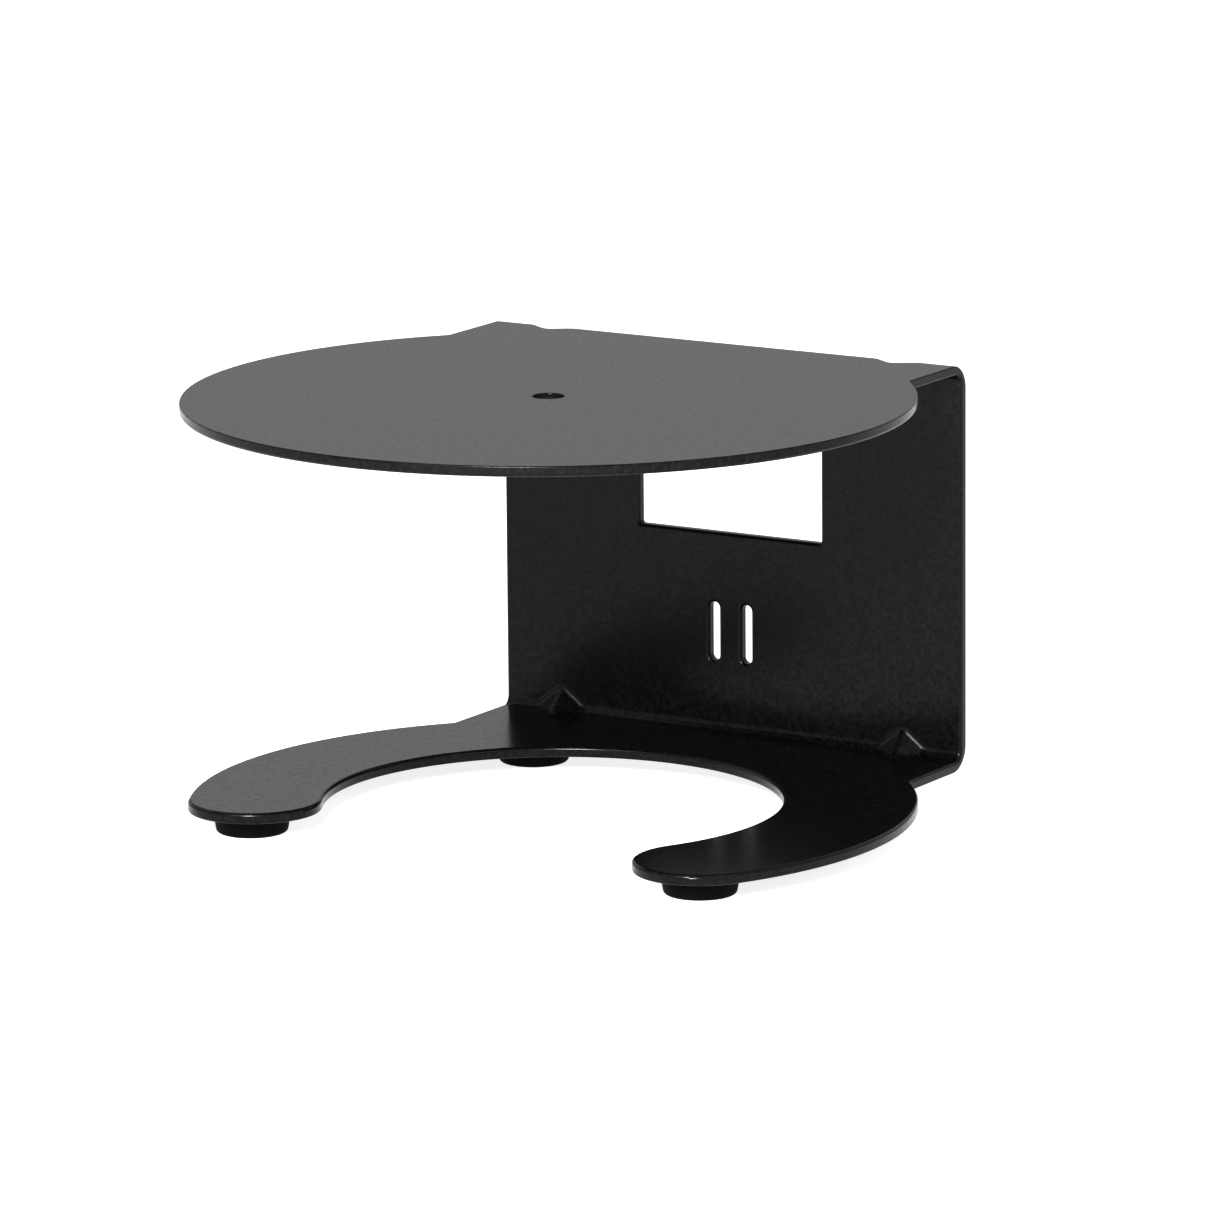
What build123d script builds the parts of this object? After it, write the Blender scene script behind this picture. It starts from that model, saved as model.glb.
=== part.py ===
from build123d import *
from math import sqrt
import os

# Tabletop stand bent from one steel sheet: a round platform on top, an upright back wall, and an open
# horseshoe base on four self-adhesive rubber feet.
# Frame: +Z up, wall towards +Y, open side towards -Y. The origin is on the platform's axis at floor level.

os.makedirs("parts", exist_ok=True)

# Driving dimensions, in millimetres
SHEET = 3.0
PLATE_RADIUS = 100.0
STAND_RISE = 115.0  # underside of the base to the top of the platform
WALL_BACK = 98.5  # from the platform's axis to the wall's rear face
WALL_WIDTH = 149.2
BEND_OUTER_RADIUS = 7.0
BEND_INNER_RADIUS = 2.5
NECK_FILLET = 2.0  # where a round plate runs into the straight sides
OUTER_EDGE_ROUND = 0.4  # cut edges on the sheet's face that ends up outside the C
INNER_EDGE_ROUND = 1.0  # cut edges on the face that ends up inside the C

BASE_OPENING_RADIUS = 63.2
ARM_END_ANGLE = 29.3  # each arm's last centre lies this far in front of the X axis

WINDOW_WIDTH = 59.4
WINDOW_HEIGHT = 40.0
WINDOW_BOTTOM = 60.0  # above the base's underside
WINDOW_CORNER = 0.8
SLOT_WIDTH = 3.3
SLOT_LENGTH = 16.9
SLOT_PITCH = 10.5
SLOT_CENTRE = 31.3  # above the base's underside
CENTRE_HOLE_RADIUS = 4.35

# Each bend has two gussets: a V-shaped rib across its inside, and a matching groove in its outside.
# Reach is measured along an outer face from the sheet's sharp outer corner to the nose of the V.
# Flank and flare are half-section points: distance from the V's middle, height above the inner bend.
GUSSET_X = 56.0
NOSE_HALF_WIDTH = 0.6
NOSE_FILLET = 2.0
FLARE_FILLET = 3.0
RIB_REACH = 12.5
RIB_FLANK = (6.3, 0.45)
RIB_FLARE = (9.0, -0.15)
RIB_ROOT = -1.2
RIB_BLEND = 2.5  # fillet where a rib runs into the sheet
GROOVE_REACH = 9.2
GROOVE_FLANK = (6.4, -1.45)
GROOVE_FLARE = (12.0, -2.6)
GROOVE_ROOT = -4.0
GROOVE_BLEND = 2.5  # fillet along a groove's rim

FOOT_TOP_RADIUS = 10.75
FOOT_BOTTOM_RADIUS = 9.75
FOOT_ROUND = 1.2
FOOT_HEIGHT = 5.6
FRONT_FOOT_X = 71.5
FRONT_FOOT_Y = -40.9
REAR_FOOT_X = 49.7
REAR_FOOT_Y = 70.0
ADHESIVE_RADIUS = 10.0
ADHESIVE_THICKNESS = 0.4

TOLERANCE = 0.01

# Sizes that follow from them
base_bottom = FOOT_HEIGHT + ADHESIVE_THICKNESS
platform_top = base_bottom + STAND_RISE
wall_front = WALL_BACK - SHEET
bend_start = WALL_BACK - BEND_OUTER_RADIUS
arm_width = PLATE_RADIUS - BASE_OPENING_RADIUS
arm_radius = PLATE_RADIUS - arm_width / 2
neck_y = sqrt(PLATE_RADIUS**2 - (WALL_WIDTH / 2) ** 2)
strip_start = (BASE_OPENING_RADIUS + neck_y) / 2
inner_corner = SHEET + BEND_INNER_RADIUS * (1 - 1 / sqrt(2))
middle_height = base_bottom + STAND_RISE / 2


def gusset_prism(reach, flank, flare, root, half_length):
    """The V section, drawn square to the ridge, drawn out along the ridge's 45 degree slope."""
    plane = Plane(
        origin=(GUSSET_X, WALL_BACK - inner_corner, base_bottom + inner_corner),
        x_dir=(1, 0, 0),
        z_dir=(0, -1, -1),
    )
    nose_height = (reach - 2 * inner_corner) / sqrt(2)
    right = [(NOSE_HALF_WIDTH, nose_height), flank, flare]
    left = [(-x, y) for x, y in reversed(right)]
    with BuildPart() as prism:
        with BuildSketch(plane):
            with BuildLine():
                FilletPolyline(*left, *right, radius=(FLARE_FILLET, NOSE_FILLET, NOSE_FILLET, FLARE_FILLET))
                Polyline(flare, (flare[0], root), (-flare[0], root), left[0])
            make_face()
        extrude(amount=half_length, both=True)
    return prism.part


# One gusset's rib, ending inside the wall and inside the base plate
with BuildPart() as rib:
    add(gusset_prism(RIB_REACH, RIB_FLANK, RIB_FLARE, RIB_ROOT, 4 * SHEET))
    split(bisect_by=Plane.XZ.offset(SHEET / 2 - WALL_BACK), keep=Keep.TOP)
    split(bisect_by=Plane.XY.offset(base_bottom + SHEET / 2), keep=Keep.TOP)

# One gusset's groove, running out through both outer faces
groove = gusset_prism(GROOVE_REACH, GROOVE_FLANK, GROOVE_FLARE, GROOVE_ROOT, 5 * SHEET)


def all_four(tool):
    """The lower right gusset's shape, repeated on the left and in the upper bend."""
    lower = [tool, tool.mirror(Plane.YZ)]
    return lower + [shape.mirror(Plane.XY.offset(middle_height)) for shape in lower]


def is_cut_edge(edge):
    """Whether an edge runs along the sheet's outline or along an opening's outline."""
    straight = edge.geom_type == GeomType.LINE
    across_sheet = straight and edge.length < SHEET + TOLERANCE
    along_bend = straight and edge.length > WALL_WIDTH - TOLERANCE
    return not across_sheet and not along_bend


def is_inner_edge(edge):
    """Whether an edge lies on the sheet's face that ends up inside the C."""
    middle = edge @ 0.5
    below_outer_face = STAND_RISE / 2 - abs(middle.Z - middle_height)
    return min(below_outer_face, WALL_BACK - middle.Y) > SHEET - TOLERANCE


# The bent sheet
with BuildPart() as stand_body:
    # Wall, both bends and the straight necks
    with BuildSketch(Plane.YZ):
        with BuildLine():
            outside = FilletPolyline(
                (strip_start, base_bottom),
                (WALL_BACK, base_bottom),
                (WALL_BACK, platform_top),
                (strip_start, platform_top),
                radius=BEND_OUTER_RADIUS,
            )
            inside = FilletPolyline(
                (strip_start, base_bottom + SHEET),
                (wall_front, base_bottom + SHEET),
                (wall_front, platform_top - SHEET),
                (strip_start, platform_top - SHEET),
                radius=BEND_INNER_RADIUS,
            )
            Line(outside @ 0, inside @ 0)
            Line(outside @ 1, inside @ 1)
        make_face()
    extrude(amount=WALL_WIDTH / 2, both=True)

    # Round platform, cut off where the upper bend starts
    with BuildSketch(Plane.XY.offset(platform_top - SHEET)):
        Circle(PLATE_RADIUS)
        split(bisect_by=Plane.XZ.offset(-bend_start), keep=Keep.TOP)
    extrude(amount=SHEET)

    # Horseshoe base with round-ended arms, cut off where the lower bend starts
    with BuildSketch(Plane.XY.offset(base_bottom)):
        arms = CenterArc((0, 0), arm_radius, -ARM_END_ANGLE, 180 + 2 * ARM_END_ANGLE, mode=Mode.PRIVATE)
        SlotArc(arms, arm_width)
        split(bisect_by=Plane.XZ.offset(-bend_start), keep=Keep.TOP)
    extrude(amount=SHEET)
    neck_corners = stand_body.edges().filter_by(Axis.Z).filter_by_position(Axis.Y, neck_y - 1, neck_y + 1)
    fillet(neck_corners, NECK_FILLET)

    # Window and strap slots through the wall
    with BuildSketch(Plane.XZ.offset(-WALL_BACK)):
        with Locations((0, base_bottom + WINDOW_BOTTOM + WINDOW_HEIGHT / 2)):
            RectangleRounded(WINDOW_WIDTH, WINDOW_HEIGHT, WINDOW_CORNER)
        with Locations((0, base_bottom + SLOT_CENTRE)):
            with GridLocations(SLOT_PITCH, SLOT_PITCH, 2, 1):
                SlotOverall(SLOT_LENGTH, SLOT_WIDTH, rotation=90)
    extrude(amount=SHEET, mode=Mode.SUBTRACT)

    # Hole on the platform's axis
    with Locations((0, 0, platform_top)):
        Hole(CENTRE_HOLE_RADIUS, depth=SHEET)

    # Every cut edge is rounded. The lines across the thickness and the bends' own lines stay as they are.
    cut_edges = stand_body.edges().filter_by(is_cut_edge)
    inner_edges = cut_edges.filter_by(is_inner_edge)
    fillet(cut_edges - inner_edges, OUTER_EDGE_ROUND)
    fillet(inner_edges, INNER_EDGE_ROUND)

    # Gussets, blended into the sheet on both faces
    add(all_four(rib.part))
    rib_roots = stand_body.edges(Select.NEW)
    fillet(rib_roots, RIB_BLEND)
    add(all_four(groove), mode=Mode.SUBTRACT)
    groove_rims = stand_body.edges(Select.NEW)
    fillet(groove_rims, GROOVE_BLEND)

stand_body.part.label = "stand_body"
export_step(stand_body.part, "parts/stand_body.step")

# Self-adhesive feet: a tapered rubber bumper with a rounded bottom edge, and the adhesive disc above it
foot_places = {
    "front_left": (-FRONT_FOOT_X, FRONT_FOOT_Y),
    "front_right": (FRONT_FOOT_X, FRONT_FOOT_Y),
    "rear_left": (-REAR_FOOT_X, REAR_FOOT_Y),
    "rear_right": (REAR_FOOT_X, REAR_FOOT_Y),
}
for place, (x, y) in foot_places.items():
    with BuildPart() as foot:
        with BuildSketch(Plane(origin=(x, y, 0), x_dir=(1, 0, 0), z_dir=(0, -1, 0))):
            with BuildLine():
                FilletPolyline(
                    (0, 0),
                    (FOOT_BOTTOM_RADIUS, 0),
                    (FOOT_TOP_RADIUS, FOOT_HEIGHT),
                    (0, FOOT_HEIGHT),
                    radius=(FOOT_ROUND, 0),
                )
                Line((0, FOOT_HEIGHT), (0, 0))
            make_face()
        revolve(axis=Axis((x, y, 0), (0, 0, 1)))
    foot.part.label = f"foot_{place}"
    export_step(foot.part, f"parts/foot_{place}.step")

    with BuildPart() as foot_adhesive:
        with BuildSketch(Plane(origin=(x, y, FOOT_HEIGHT))):
            Circle(ADHESIVE_RADIUS)
        extrude(amount=ADHESIVE_THICKNESS)
    foot_adhesive.part.label = f"foot_adhesive_{place}"
    export_step(foot_adhesive.part, f"parts/foot_adhesive_{place}.step")
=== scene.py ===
"""Looks of the bent steel tabletop stand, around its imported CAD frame. Lengths are in metres."""

import math

import bpy
from mathutils import Matrix, Vector


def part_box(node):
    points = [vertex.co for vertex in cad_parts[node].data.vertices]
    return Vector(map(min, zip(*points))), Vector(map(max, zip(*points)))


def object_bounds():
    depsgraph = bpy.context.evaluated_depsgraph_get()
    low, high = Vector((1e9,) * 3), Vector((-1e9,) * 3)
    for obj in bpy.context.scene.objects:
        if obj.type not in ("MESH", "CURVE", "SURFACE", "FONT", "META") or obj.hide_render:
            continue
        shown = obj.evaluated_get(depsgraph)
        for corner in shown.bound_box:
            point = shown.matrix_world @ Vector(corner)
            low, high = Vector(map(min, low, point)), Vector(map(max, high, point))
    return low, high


MM = 0.001

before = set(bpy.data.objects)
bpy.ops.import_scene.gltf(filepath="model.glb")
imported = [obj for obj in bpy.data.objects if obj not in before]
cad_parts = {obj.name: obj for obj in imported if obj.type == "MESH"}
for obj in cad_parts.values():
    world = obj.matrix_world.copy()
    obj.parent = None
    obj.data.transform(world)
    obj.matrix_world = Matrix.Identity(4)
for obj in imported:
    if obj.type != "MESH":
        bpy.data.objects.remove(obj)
cad_low, cad_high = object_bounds()

body_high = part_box("stand_body")[1]
platform_centre = Vector((0, 0, body_high.z))

# Camera: where the photographer stood, seen from the platform's centre
CAMERA_AZIMUTH = math.radians(31.576)
CAMERA_ELEVATION = math.radians(11.958)
CAMERA_ROLL = math.radians(-0.492)
CAMERA_DISTANCE = 2.28188
CAMERA_AIM_RIGHT = 0.01587
CAMERA_AIM_DOWN = 0.05718
CAMERA_NEAR = 0.1
CAMERA_FAR = 100.0
CAMERA_SENSOR = 36.0  # in millimetres, and so is the lens
CAMERA_LENS = 249.87


def direction(azimuth, elevation):
    """Unit vector from the object towards that azimuth, 0 being straight in front, and elevation."""
    flat = math.cos(elevation)
    return Vector((math.sin(azimuth) * flat, -math.cos(azimuth) * flat, math.sin(elevation)))


# ---------------------------------------------------------------- materials

# Noise keeps mostly to the middle of 0 to 1, so these stretches of it are spread over the whole range
RANGE_FROM, RANGE_TO = 0.3, 0.7
GREYS_FROM, GREYS_TO = 0.35, 0.65

# Powder coat: grey levels and roughness each go from the grain's lows to its highs
COAT_GRAIN_SIZE = 1.2 * MM
COAT_GRAIN_DEPTH = 0.006 * MM
COAT_PEEL_SIZE = 3.0 * MM
COAT_PEEL_DEPTH = 0.005 * MM
COAT_GREYS = (0.001, 0.006)
COAT_ROUGHNESS = (0.26, 0.17)
COAT_SPECULAR = 0.19

RUBBER_GRAIN_SIZE = 0.3 * MM
RUBBER_GRAIN_DEPTH = 0.01 * MM
RUBBER_BLOOM_SIZE = 5.0 * MM
RUBBER_GREYS = (0.0015, 0.003)
RUBBER_ROUGHNESS = (0.6, 0.7)
RUBBER_SPECULAR = 0.08

ADHESIVE_CELL_SIZE = 0.15 * MM
ADHESIVE_CELL_DEPTH = 0.02 * MM
ADHESIVE_GREYS = (0.008, 0.02)
ADHESIVE_ROUGHNESS = 0.7


def start_material(name):
    """A new node material, with its Principled shader and its texture coordinates in object space."""
    material = bpy.data.materials.new(name)
    material.use_nodes = True
    shader = material.node_tree.nodes["Principled BSDF"]
    coordinates = material.node_tree.nodes.new("ShaderNodeTexCoord").outputs["Object"]
    return material, shader, coordinates


def add_noise(material, coordinates, size, detail=2.0):
    """Noise whose features are about size across."""
    noise = material.node_tree.nodes.new("ShaderNodeTexNoise")
    noise.inputs["Scale"].default_value = 1.0 / size
    noise.inputs["Detail"].default_value = detail
    material.node_tree.links.new(coordinates, noise.inputs["Vector"])
    return noise.outputs["Fac"]


def add_range(material, value, low, high):
    """The value spread over low to high."""
    spread = material.node_tree.nodes.new("ShaderNodeMapRange")
    spread.inputs["From Min"].default_value = RANGE_FROM
    spread.inputs["From Max"].default_value = RANGE_TO
    spread.inputs["To Min"].default_value = low
    spread.inputs["To Max"].default_value = high
    material.node_tree.links.new(value, spread.inputs["Value"])
    return spread.outputs["Result"]


def add_greys(material, value, dark, light):
    """Grey levels from dark to light, chosen by the value."""
    ramp = material.node_tree.nodes.new("ShaderNodeValToRGB")
    ramp.color_ramp.elements[0].position = GREYS_FROM
    ramp.color_ramp.elements[0].color = (dark, dark, dark, 1.0)
    ramp.color_ramp.elements[1].position = GREYS_TO
    ramp.color_ramp.elements[1].color = (light, light, light, 1.0)
    material.node_tree.links.new(value, ramp.inputs["Fac"])
    return ramp.outputs["Color"]


def add_bump(material, height, depth, before=None):
    """Relief of that depth from a height between 0 and 1, on top of an earlier one."""
    bump = material.node_tree.nodes.new("ShaderNodeBump")
    bump.inputs["Strength"].default_value = 1.0
    bump.inputs["Distance"].default_value = depth
    material.node_tree.links.new(height, bump.inputs["Height"])
    if before is not None:
        material.node_tree.links.new(before, bump.inputs["Normal"])
    return bump.outputs["Normal"]


def powder_coat():
    """Satin black powder coat: a fine grain on a soft orange peel, slightly uneven in gloss."""
    material, shader, coordinates = start_material("black_powder_coat")
    links = material.node_tree.links
    grain = add_noise(material, coordinates, COAT_GRAIN_SIZE, detail=3.0)
    peel = add_noise(material, coordinates, COAT_PEEL_SIZE)
    links.new(add_greys(material, grain, *COAT_GREYS), shader.inputs["Base Color"])
    links.new(add_range(material, grain, *COAT_ROUGHNESS), shader.inputs["Roughness"])
    relief = add_bump(material, peel, COAT_PEEL_DEPTH)
    links.new(add_bump(material, grain, COAT_GRAIN_DEPTH, relief), shader.inputs["Normal"])
    shader.inputs["Specular IOR Level"].default_value = COAT_SPECULAR
    return material


def foot_rubber():
    """Matte black moulded rubber with a faint grain and a cloudy bloom."""
    material, shader, coordinates = start_material("foot_rubber")
    links = material.node_tree.links
    grain = add_noise(material, coordinates, RUBBER_GRAIN_SIZE, detail=4.0)
    bloom = add_noise(material, coordinates, RUBBER_BLOOM_SIZE)
    links.new(add_greys(material, bloom, *RUBBER_GREYS), shader.inputs["Base Color"])
    links.new(add_range(material, bloom, *RUBBER_ROUGHNESS), shader.inputs["Roughness"])
    links.new(add_bump(material, grain, RUBBER_GRAIN_DEPTH), shader.inputs["Normal"])
    shader.inputs["Specular IOR Level"].default_value = RUBBER_SPECULAR
    return material


def adhesive_film():
    """Dark acrylic foam tape, its cut edge slightly cellular."""
    material, shader, coordinates = start_material("adhesive_film")
    links = material.node_tree.links
    cells = add_noise(material, coordinates, ADHESIVE_CELL_SIZE, detail=4.0)
    links.new(add_greys(material, cells, *ADHESIVE_GREYS), shader.inputs["Base Color"])
    links.new(add_bump(material, cells, ADHESIVE_CELL_DEPTH), shader.inputs["Normal"])
    shader.inputs["Roughness"].default_value = ADHESIVE_ROUGHNESS
    return material


def dress(node, material):
    """Gives a CAD node its material."""
    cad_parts[node].data.materials.clear()
    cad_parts[node].data.materials.append(material)


coat, rubber, adhesive = powder_coat(), foot_rubber(), adhesive_film()
dress("stand_body", coat)
for place in ("front_left", "front_right", "rear_left", "rear_right"):
    dress(f"foot_{place}", rubber)
    dress(f"foot_adhesive_{place}", adhesive)


# ---------------------------------------------------------------- studio

FLOOR_HALF = 30.0
FLOOR_CORNERS = ((-1, -1), (1, -1), (1, 1), (-1, 1))
FLOOR_MOTTLE_SIZE = 0.4
FLOOR_GREYS = (0.5, 0.52)
FLOOR_ROUGHNESS = 0.9
FLOOR_GLOW = 0.85

# The sky's grey level at each height, which is the sine of the elevation. It is level above and below.
SKY_LEVELS = ((0.01, 0.6), (0.14, 0.34), (0.19, 0.34), (0.245, 0.67), (0.6, 0.56))
SKY_STRENGTH = 1.7

VIEW_GAMMA = 0.8


def make_floor():
    """A wide pale floor that the feet rest on, lit from below like a photographer's light table."""
    mesh = bpy.data.meshes.new("floor")
    corners = [(x * FLOOR_HALF, y * FLOOR_HALF, cad_low.z) for x, y in FLOOR_CORNERS]
    mesh.from_pydata(corners, [], [(0, 1, 2, 3)])
    floor = bpy.data.objects.new("floor", mesh)
    bpy.context.scene.collection.objects.link(floor)
    material, shader, coordinates = start_material("pale_floor")
    mottle = add_noise(material, coordinates, FLOOR_MOTTLE_SIZE)
    shade = add_greys(material, mottle, *FLOOR_GREYS)
    material.node_tree.links.new(shade, shader.inputs["Base Color"])
    shader.inputs["Roughness"].default_value = FLOOR_ROUGHNESS
    shader.inputs["Specular IOR Level"].default_value = 0.0
    shader.inputs["Emission Color"].default_value = (1.0, 1.0, 1.0, 1.0)
    shader.inputs["Emission Strength"].default_value = FLOOR_GLOW
    mesh.materials.append(material)


def make_world():
    """Soft light from all round: a pale horizon, a grey backdrop, a brighter band over it, the ceiling."""
    world = bpy.data.worlds.new("studio")
    world.use_nodes = True
    bpy.context.scene.world = world
    nodes, links = world.node_tree.nodes, world.node_tree.links
    sky_direction = nodes.new("ShaderNodeTexCoord").outputs["Generated"]
    height = nodes.new("ShaderNodeSeparateXYZ")
    links.new(sky_direction, height.inputs["Vector"])
    ramp = nodes.new("ShaderNodeValToRGB")
    # A ramp starts with two stops and can't be left with none, so the first goes last
    stops = ramp.color_ramp.elements
    stops.remove(stops[1])
    for position, level in SKY_LEVELS:
        stops.new(position).color = (level, level, level, 1)
    stops.remove(stops[0])
    links.new(height.outputs["Z"], ramp.inputs["Fac"])
    background = nodes["Background"]
    links.new(ramp.outputs["Color"], background.inputs["Color"])
    background.inputs["Strength"].default_value = SKY_STRENGTH


def add_softbox(name, azimuth, elevation, distance, width, height, power):
    """A rectangular soft light that faces the stand, its azimuth counted from the camera's."""
    light = bpy.data.lights.new(name, "AREA")
    light.shape = "RECTANGLE"
    light.size = width
    light.size_y = height
    light.energy = power
    lamp = bpy.data.objects.new(name, light)
    towards = direction(CAMERA_AZIMUTH + math.radians(azimuth), math.radians(elevation))
    lamp.location = platform_centre + towards * distance
    lamp.rotation_euler = towards.to_track_quat("Z", "Y").to_euler()
    bpy.context.scene.collection.objects.link(lamp)


def make_camera():
    """A long lens at the photograph's viewing angle."""
    camera = bpy.data.cameras.new("camera")
    camera.sensor_width = CAMERA_SENSOR
    camera.lens = CAMERA_LENS
    camera.clip_start = CAMERA_NEAR
    camera.clip_end = CAMERA_FAR
    viewpoint = bpy.data.objects.new("camera", camera)
    back = direction(CAMERA_AZIMUTH, CAMERA_ELEVATION)
    right = Vector((math.cos(CAMERA_AZIMUTH), math.sin(CAMERA_AZIMUTH), 0))
    turn = Matrix.Rotation(CAMERA_ROLL, 3, back)
    right = turn @ right
    up = back.cross(right)
    aim = platform_centre + right * CAMERA_AIM_RIGHT - up * CAMERA_AIM_DOWN
    viewpoint.matrix_world = Matrix((right, up, back)).transposed().to_4x4()
    viewpoint.location = aim + back * CAMERA_DISTANCE
    bpy.context.scene.collection.objects.link(viewpoint)
    bpy.context.scene.camera = viewpoint


make_floor()
make_world()
add_softbox("key", azimuth=-12, elevation=24, distance=1.5, width=0.41, height=0.36, power=53)
add_softbox("key_spill", azimuth=-34, elevation=24, distance=1.5, width=0.5, height=0.32, power=5)
add_softbox("fill", azimuth=42, elevation=26, distance=2.4, width=1.4, height=0.5, power=8)
make_camera()
bpy.context.scene.view_settings.view_transform = "Standard"
bpy.context.scene.view_settings.gamma = VIEW_GAMMA
